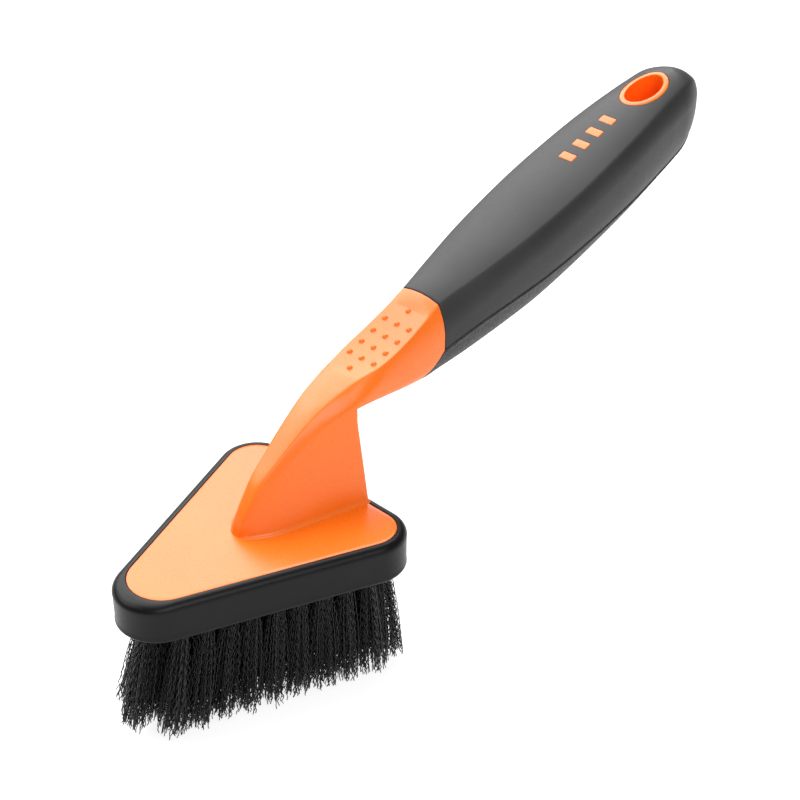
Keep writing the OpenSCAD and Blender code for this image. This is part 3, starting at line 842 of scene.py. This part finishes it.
def make_grip():
    """Soft grip: the shell on top and the sides, and the pad, which swells a little at its edge."""
    q_half = np.concatenate([np.linspace(0, Q_A, 46), np.linspace(Q_A, Q_B, 11)[1:],
                             np.linspace(Q_B, 2, 26)[1:], np.linspace(2, Q_SEAM - 0.03, 12)[1:], [Q_SEAM]])
    edge = [(0.14, 1.4), (0.14, 0.5), (0.16, 0.3), (0.22, 0.14), (0.32, 0.05), (0.46, 0.0)]
    patches = grip_skin(np.concatenate([-q_half[:0:-1], q_half]), edge, -1)
    mesh = mesh_from("grip_shell_moulded", patches, 0.003, 40)
    shell = piece("grip_shell_moulded", mesh, GREY, "grip_rubber", "grip_shell")
    inner = np.linspace(Q_SEAM + Q_STEP, 6 - Q_SEAM - Q_STEP, 110)
    q_pad = np.concatenate([[Q_SEAM], inner, [6 - Q_SEAM]])
    edge = [(0.14, 1.4), (0.14, 0.25), (0.17, 0.0), (0.28, -0.22), (0.48, -0.36), (0.72, -0.32),
            (0.95, -0.1), (1.1, 0.0)]
    patches = grip_skin(q_pad, edge, 1)
    mesh = mesh_from("grip_pad_textured", patches, 0.003, 40)
    pad = piece("grip_pad_textured", mesh, TEXTURED, "textured_rubber", "grip_pad")
    cut(shell, [hang_cutter()] + [bar_cutter(x) for x in BAR_X], 40)
    cut(pad, [hang_cutter()], 40)


def make_bars():
    """Plain raised bars let into the top of the grip, with softened edges."""
    loop = bar_outline(0, 6)
    half_size = np.array([BAR_W / 2, BAR_L / 2])
    levels = [(1 - inset / half_size, lift)
              for inset, lift in ((0, -1.1), (0, -0.15), (0.04, 0.02), (0.14, 0.1), (0.3, 0.12))]
    levels.append((0.5, 0.12))
    for k, x in enumerate(BAR_X):
        rows = []
        for scale, lift in levels:
            u, v = (loop * scale).T
            px = x + u * TILT_COS
            rows.append(np.stack([px, v, top_height(px, v) + lift], -1))
        name = f"grip_bar_{k + 1}"
        mesh = mesh_from(name, [(np.stack(rows), True), fan(rows[-1]), fan(rows[0])], 0.001, 40)
        piece(name, mesh, ORANGE, "orange_plastic", "core")


# Section of the liner's rim: distance out from the hole, and height over the grip
RIM = [(0.0, -0.5), (0.03, -0.15), (0.12, 0.0), (0.28, 0.06), (1.0, 0.08), (1.65, 0.06),
       (1.84, -0.02), (LINER, -0.25), (LINER, -2)]


def make_eyelet():
    """Hard liner of the hang hole, flush with the grip above and below."""
    a = np.linspace(0, 2 * np.pi, 97)[:-1]

    def at(out, lift, top):
        u, v = (HANG_A + out) * np.cos(a), (HANG_B + out) * np.sin(a)
        s = np.full(len(a), 15.0 if top else -16.0)
        # Slide along the hole's axis until the point is on the handle's surface
        for _ in range(12):
            p = hang_frame(u, v, s)
            goal = (top_height if top else bottom_height)(p[:, 0], p[:, 1])
            s = s + (goal - p[:, 2]) / TILT_COS
        return hang_frame(u, v, s + (lift if top else -lift))

    upper = [at(out, lift, True) for out, lift in RIM]
    lower = [at(out, lift, False) for out, lift in RIM[::-1]]
    wall = [lower[-1] * (1 - t) + upper[0] * t for t in np.linspace(0, 1, 14)[1:-1]]
    mesh = mesh_from("hang_eyelet", [(np.stack(upper + lower + wall + [upper[0]]), True)], 0.001, 50)
    piece("hang_eyelet", mesh, ORANGE, "orange_plastic", "core")


make_bumper()
make_plate()
make_neck()
make_bumps()
make_grip()
make_eyelet()
make_bars()
for row in range(TUFT_ROWS):
    make_tufts(row)
for row in range(TUFT_ROWS):
    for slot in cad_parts[f"anchor_row_{row + 1:02d}"].material_slots:
        slot.material = STEEL


# ---------------------------------------------------------------- floor, light and camera

def make_floor():
    """Pale floor, 16 m square, which gives off some light of its own so that shadows stay faint."""
    mesh = bpy.data.meshes.new("floor")
    t = np.linspace(-8, 8, 25)
    grid = np.stack([*np.meshgrid(t, t), np.zeros((len(t), len(t)))], -1)
    mesh.from_pydata(grid.reshape(-1, 3).tolist(), [], quads(len(t), len(t)).tolist())
    floor = bpy.data.objects.new("floor", mesh)
    bpy.context.scene.collection.objects.link(floor)
    s = Surface("floor_white", 0.8, 0.2)
    s.bsdf.inputs["Base Color"].default_value = (0.4, 0.4, 0.4, 1)
    s.bsdf.inputs["Emission Color"].default_value = (1, 1, 1, 1)
    s.bsdf.inputs["Emission Strength"].default_value = 0.8
    mesh.materials.append(s.material)


def aim(obj, target, azimuth, elevation, distance):
    """Puts obj at that distance from the target, facing it. Azimuth 0 is on the -Y side."""
    a, e = math.radians(azimuth), math.radians(elevation)
    away = Vector((math.sin(a) * math.cos(e), -math.cos(a) * math.cos(e), math.sin(e)))
    obj.location = Vector(target) + away * distance
    obj.rotation_euler = (-away).to_track_quat("-Z", "Y").to_euler()
    bpy.context.scene.collection.objects.link(obj)


def area_light(name, azimuth, elevation, distance, width, height, power):
    data = bpy.data.lights.new(name, "AREA")
    data.shape = "RECTANGLE"
    data.size, data.size_y = width, height
    data.energy = power
    aim(bpy.data.objects.new(name, data), (0.05, 0, 0.07), azimuth, elevation, distance)


def make_lights():
    world = bpy.data.worlds.new("studio")
    world.use_nodes = True
    background = world.node_tree.nodes["Background"]
    background.inputs["Color"].default_value = (1, 1, 1, 1)
    background.inputs["Strength"].default_value = 0.2
    bpy.context.scene.world = world
    area_light("softbox_back", 150, 44, 1.6, 2.0, 1.4, 42)
    area_light("softbox_left", -144, 43, 1.6, 1.0, 1.0, 11)
    area_light("softbox_top", 165, 80, 1.5, 0.9, 0.9, 7)
    area_light("softbox_front", -22, 36, 1.6, 1.1, 1.1, 13)


def make_camera():
    data = bpy.data.cameras.new("camera")
    data.lens, data.sensor_width = 90, 36
    data.clip_start, data.clip_end = 0.01, 20
    camera = bpy.data.objects.new("camera", data)
    aim(camera, (0.0895, 0.0181, PLATE_TOP * MM), -45.5, 33.04, 0.7)
    bpy.context.scene.camera = camera


make_floor()
make_lights()
make_camera()
bpy.context.scene.view_settings.view_transform = "Standard"
